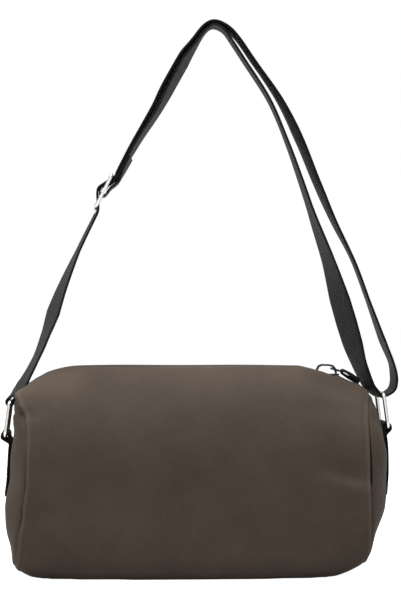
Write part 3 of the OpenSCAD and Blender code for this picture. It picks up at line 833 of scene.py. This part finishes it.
fold_round_eye = bend_round(eye_far, ribbon_thick + 0.05 + eye_wire, -121, -301, 12)
under_ply = curve_through([down_ribbon(1, -0.6), down_ribbon(0.65, -1.3), down_ribbon(0.28, -1.5)], 5)
upper_ply = curve_through([down_ribbon(0.28, 1.5), down_ribbon(0.65, 1.3), down_ribbon(1, 0.7)], 5)
ribbon_path = under_ply + fold_round_eye + upper_ply
middle = (len(ribbon_path) - 1) / 2
ribbon_turns = [24 * ease(abs(k / middle - 1) * 1.6) * math.copysign(1, k - len(ribbon_path) / 2)
                for k in range(len(ribbon_path))]
ribbon = weave_strip("zip_pull_ribbon_folded", ribbon_path, ribbon_wide, ribbon_thick, ribbon_turns, 0.3)
ribbon.data.materials.append(ribbon_black)
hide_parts("zip_pull_ribbon")
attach(ribbon, "zip_pull")

# Ring tabs: a strip of the strap's own black webbing passes round each ring's lower bar, and its two ends
# are sewn flat on the end panel in a box with a cross.
chevron_pitch = 7.6
webbing_black, webbing_shader = new_finish("black_webbing")
web_uv = add_node(webbing_black, "TexCoord").outputs["UV"]
web_parts = add_node(webbing_black, "SeparateXYZ", {0: web_uv}).outputs
web_away = worked_out(webbing_black, "ABSOLUTE", web_parts[0])
web_slope = worked_out(webbing_black, "ADD", web_parts[1], web_away)
web_wave = worked_out(webbing_black, "MULTIPLY", web_slope, 2 * math.pi / (chevron_pitch * mm))
web_chevron = worked_out(webbing_black, "SINE", web_wave)
web_inner = ranged(webbing_black, web_away, 1.0, 0.0, 14.2 * mm, 14.9 * mm)
web_show = ranged(webbing_black, web_chevron, 0.0, 1.0, -0.1, 0.35)
web_pattern = worked_out(webbing_black, "MULTIPLY", web_inner, web_show)
web_warp, web_weft = (
    add_node(webbing_black, "TexWave", {"Vector": web_uv, "Scale": scale, "Distortion": 0.3},
             bands_direction=way).outputs["Fac"]
    for way, scale in (("X", 262.0), ("Y", 285.0)))
web_lift = worked_out(webbing_black, "MULTIPLY", web_warp, web_weft)
web_high = worked_out(webbing_black, "MULTIPLY", web_pattern, 0.5)
web_total = worked_out(webbing_black, "ADD", web_lift, web_high)
web_bump = add_node(webbing_black, "Bump", {"Height": web_total, "Strength": 0.8, "Distance": 0.3 * mm})
wire_up(webbing_shader, "Base Color", ranged(webbing_black, web_total, 0.0028, 0.011, 0.0, 1.5))
wire_up(webbing_shader, "Normal", web_bump.outputs[0])
webbing_shader.inputs["Roughness"].default_value = 0.66
webbing_shader.inputs["Specular IOR Level"].default_value = 0.1
webbing_shader.inputs["Sheen Weight"].default_value = 0.02
webbing_shader.inputs["Sheen Roughness"].default_value = 0.35

thread_black = thread_finish("black_thread", 0.012, 0.03, 0.45)
webbing_wide = 38
webbing_thick = 1.8
wrap_radius = 2.8
ring_out = 149.4
ring_bars = {-1: Vector((ring_out, 107.3)), 1: Vector((ring_out, 113.2))}
tab_foot, tab_gap, ply_gap = 60, 1.0, 1.85
box_half, box_low, box_high = 16, 62.5, 82


def mirrored(path, side):
    return [Vector((side * p.x, p.y)) for p in path]


def webbing_piece(name, path, turns=None):
    piece = weave_strip(name, path, webbing_wide, webbing_thick, turns)
    piece.data.materials.append(webbing_black)
    return piece


for side, hand in ((-1, "left"), (1, "right")):
    bar = ring_bars[side]
    tab_top = bar.y - 6.5
    heights = [tab_foot + (tab_top - tab_foot) * k / 9 for k in range(10)]
    inner_ply = [Vector((end_reach(side, 0, z) + tab_gap, z)) for z in heights]
    outer_ply = [p + Vector((ply_gap, 0)) for p in reversed(inner_ply)]
    loop_up = curve_through([inner_ply[-2], inner_ply[-1], bar + Vector((-wrap_radius, -2.2)),
                             bar + Vector((-wrap_radius, 0))], 4)[4:-1]
    loop_down = curve_through([bar + Vector((wrap_radius, 0)), bar + Vector((wrap_radius - 0.2, -2.2)),
                               outer_ply[0], outer_ply[1]], 4)[1:-4]
    tab_path = inner_ply[:-1] + loop_up + bend_round(bar, wrap_radius, 180, 0) + loop_down + outer_ply[1:]
    tab = webbing_piece("ring_tab_" + hand + "_webbing", mirrored(tab_path, side))
    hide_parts("ring_tab_" + hand)
    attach(tab, "bag")

    def on_tab(w, s, up):
        on_top = end_reach(side, 0, s) + tab_gap + ply_gap + webbing_thick / 2 + 0.1
        return Vector((side * (on_top + up), w, s))

    corners = [(-box_half, box_low), (box_half, box_low), (box_half, box_high), (-box_half, box_high)]
    box = list(zip(corners, corners[1:] + corners[:1]))
    cross = [(corners[0], corners[2]), (corners[1], corners[3])]
    tab_thread = sew("tab_stitching_" + hand, box + cross, on_tab)
    tab_thread.data.materials.append(thread_black)
    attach(tab_thread, "bag")

# Rings: bright nickel-plated steel wire, bent to a rectangle with rounded corners, its butt joint hidden in
# the tab. The tri-glide's frame and bar are of the same wire.
nickel, nickel_shader = new_finish("bright_nickel")
handled = soft_patches(nickel, 4)
nickel_tone = two_tones(nickel, handled, (0.0, (0.50, 0.50, 0.49)), (1.0, (0.66, 0.66, 0.64)))
# Painted reflection: the wire's colour turns dark toward its edges, where it is seen at a grazing angle, in
# place of the dark reflections a chrome wire shows there.
grazing_share = add_node(nickel, "LayerWeight", {"Blend": 0.5}).outputs["Facing"]
painted_edge_reflection = two_tones(nickel, grazing_share, (0.3, (1, 1, 1)), (0.85, (0.16, 0.16, 0.16)))
wire_up(nickel_shader, "Base Color", shaded(nickel, nickel_tone, painted_edge_reflection))
wire_up(nickel_shader, "Roughness", ranged(nickel, handled, 0.14, 0.26))
nickel_shader.inputs["Metallic"].default_value = 1.0
for node in ("ring_left", "ring_right", "glide_frame", "glide_bar"):
    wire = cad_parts[node]
    wire.data.materials.clear()
    wire.data.materials.append(nickel)
    smooth_shade(wire, 40)

# Strap ends: on the left the webbing is folded round the ring's upper bar and sewn to itself. On the right
# it passes under the bar and comes back up as the second strand.
bar_to_bar, ring_lean = 26.3, math.radians(7.5)
upper_reach = ring_out - bar_to_bar * math.sin(ring_lean)
upper_rise = bar_to_bar * math.cos(ring_lean)
upper_bars = {side: Vector((upper_reach, ring_bars[side].y + upper_rise)) for side in (-1, 1)}
left_twist, inner_twist = -11, -7
strap_joins = {"left": [Vector(p) for p in ((-126, 166.9), (-137.3, 145.7), (-143.2, 140))],
               "inner": [Vector(p) for p in ((129.2, 162.9), (136.6, 145.7), (140.8, 140.6))],
               "outer": [Vector(p) for p in ((157.2, 152.6), (156.9, 145.7), (155.2, 141.7))]}

left_bar = upper_bars[-1]
wrap_left = bend_round(left_bar, wrap_radius, 40, -158, 16)
tail_line = [left_bar + Vector(p) for p in ((-3.3, 2.6), (-4.4, 5.6), (-6.2, 8.2))]
left_end_path = curve_through(mirrored(strap_joins["left"], -1) + [wrap_left[0]], 6)[6:-1] + wrap_left \
    + curve_through([wrap_left[-1]] + tail_line, 3)[1:]
down_left = [left_twist * (1 - ease(k / 11)) for k in range(len(left_end_path))]
left_end = webbing_piece("strap_end_left_webbing", mirrored(left_end_path, -1), down_left)
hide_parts("strap_end_left")
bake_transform(left_end)

right_bar = upper_bars[1]
bight = bend_round(right_bar, wrap_radius, -125, -50, 12)
right_end_path = curve_through(strap_joins["inner"] + [bight[0], bight[6], bight[-1], Vector((151.8, 139))]
                               + strap_joins["outer"][::-1], 6)[6:-6]
share_of_end = 2.2 / (len(right_end_path) - 1)
through_ring = [inner_twist * (1 - ease(share_of_end * k)) for k in range(len(right_end_path))]
right_end = webbing_piece("strap_end_right_webbing", right_end_path, through_ring)
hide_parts("strap_end_right")
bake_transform(right_end)

# Strap runs: one length of 38 mm webbing. A single strand rises from the left ring to the tri-glide, and
# two strands go on from it over the top and down to the right ring, a few degrees twisted where they hang
# free. The places along a run are shares of how far out the rings are and of how high the strap rises.
glide_lean = math.radians(26.7)
glide_up = Vector((math.sin(glide_lean), math.cos(glide_lean)))
glide_out = Vector((-math.cos(glide_lean), math.sin(glide_lean)))
glide_middle = Vector((-73.1, 297.7))
glide_grip, wire_at, half_slot = 17.4, 14, 7
over_bar, over_loop, under_wire, under_two, under_three = 2.7, 4.8, -2.5, -4.6, -6.7
run_foot, rise_scale = 145.7, 286.9
left_cut, sliding_part = 212, 120


def by_glide(s, n):
    return glide_middle + s * glide_up + n * glide_out


runs = {
    "left": (
        [by_glide(-glide_grip, under_wire)],
        [(-0.622, 0.37), (-0.712, 0.26), (-0.79, 0.144)],
        [(0, -3), (0.2, -4), (0.4, -11), (0.5, -15), (0.6, -10), (0.8, -7), (0.9, -8), (1, left_twist)]),
    "outer": (
        [by_glide(glide_grip, under_wire)],
        [(-0.32, 0.673), (-0.23, 0.755), (-0.175, 0.809), (-0.082, 0.893), (-0.025, 0.937), (0.038, 0.983),
         (0.092, 0.9968), (0.16, 0.984), (0.219, 0.955), (0.298, 0.896), (0.444, 0.785), (0.55, 0.674),
         (0.637, 0.563), (0.729, 0.453), (0.834, 0.343), (0.914, 0.232), (0.991, 0.122), (1.038, 0.062)],
        [(0, 0), (0.04, -4), (0.11, -5), (0.16, -8), (0.21, -9), (0.26, -4), (0.32, 0), (0.45, 2), (0.52, 2),
         (0.59, -2.5), (0.667, -1), (0.74, 3.5), (0.8, 3.5), (0.85, 0.5), (0.9, 2), (0.95, 0), (1, 0)]),
    "inner": (
        [by_glide(glide_grip, under_two)],
        [(-0.302, 0.673), (-0.203, 0.751), (-0.148, 0.804), (-0.062, 0.886), (-0.01, 0.928), (0.044, 0.9705),
         (0.092, 0.9882), (0.146, 0.9755), (0.19, 0.944), (0.254, 0.893), (0.387, 0.785), (0.479, 0.674),
         (0.556, 0.563), (0.627, 0.453), (0.702, 0.343), (0.765, 0.232), (0.827, 0.122)],
        [(0, 0), (0.04, -4), (0.11, -5), (0.16, -8), (0.21, -9), (0.26, -4), (0.32, 0), (0.42, 3), (0.62, 3),
         (0.72, 0), (0.79, -8), (0.84, -17), (0.87, -18), (0.9, -16.5), (0.95, -10.5), (1, inner_twist)]),
}


def twist_at(table, share):
    for (a, low), (b, high) in zip(table, table[1:]):
        if share <= b:
            return low + (high - low) * (share - a) / (b - a)
    return table[-1][1]


for which, (first, shares, twists) in runs.items():
    along = [Vector((x * ring_out, run_foot + z * rise_scale)) for x, z in shares]
    path = curve_through(first + along + strap_joins[which], 8)[:-8]
    twist = [twist_at(twists, k / (len(path) - 1)) for k in range(len(path))]
    if which == "left":
        cut = min(range(len(path)), key=lambda k: abs(path[k].y - left_cut))
    else:
        cut = max(range(len(path)), key=lambda k: path[k].y)
    for part, start, stop in (("upper", 0, cut + 1), ("lower", cut, len(path))):
        piece = webbing_piece("strap_%s_strand_%s" % (which, part), path[start:stop], twist[start:stop])
        if part == "lower":
            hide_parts("strap_%s_run" % which)
            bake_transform(piece)
        elif which == "left":
            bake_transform(piece)
        else:
            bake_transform(piece)

# Tri-glide: a nickel wire frame with a loose centre bar. The strap passes over the bar, and its far end is
# folded round the same bar and sewn to itself.
through = curve_through([by_glide(-glide_grip, under_wire), by_glide(-wire_at, under_wire),
                         by_glide(-half_slot, 0.6 * over_bar), by_glide(0, over_loop),
                         by_glide(half_slot, 0.6 * over_bar), by_glide(wire_at, under_wire),
                         by_glide(glide_grip, under_wire)], 6)
through_web = webbing_piece("glide_webbing_over_bar", through)
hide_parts("glide_webbing")
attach(through_web, "strap_glide")

leaves_strand = math.atan2(under_two, wire_at) + math.acos(over_bar / math.hypot(wire_at, under_two))
first_turn = math.degrees(leaves_strand)
turns_round_bar = [math.radians(first_turn + (270 - first_turn) * k / 16) for k in range(17)]
round_bar = [by_glide(over_bar * math.cos(turn), over_bar * math.sin(turn)) for turn in turns_round_bar]
sewn_path = [by_glide(s, under_two) for s in (glide_grip, 15.6, wire_at)] + round_bar \
    + curve_through([by_glide(2.4, -over_bar - 0.5), by_glide(5.6, -3.9), by_glide(12, under_three),
                     by_glide(19.5, under_three), by_glide(34, under_three - 0.1)], 5)
with_strand = [-4.2 * ease((k - len(sewn_path) + 11) / 10) for k in range(len(sewn_path))]
sewn_end = webbing_piece("strap_sewn_end_webbing", sewn_path, with_strand)
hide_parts("strap_sewn_end")
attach(sewn_end, "strap_glide")
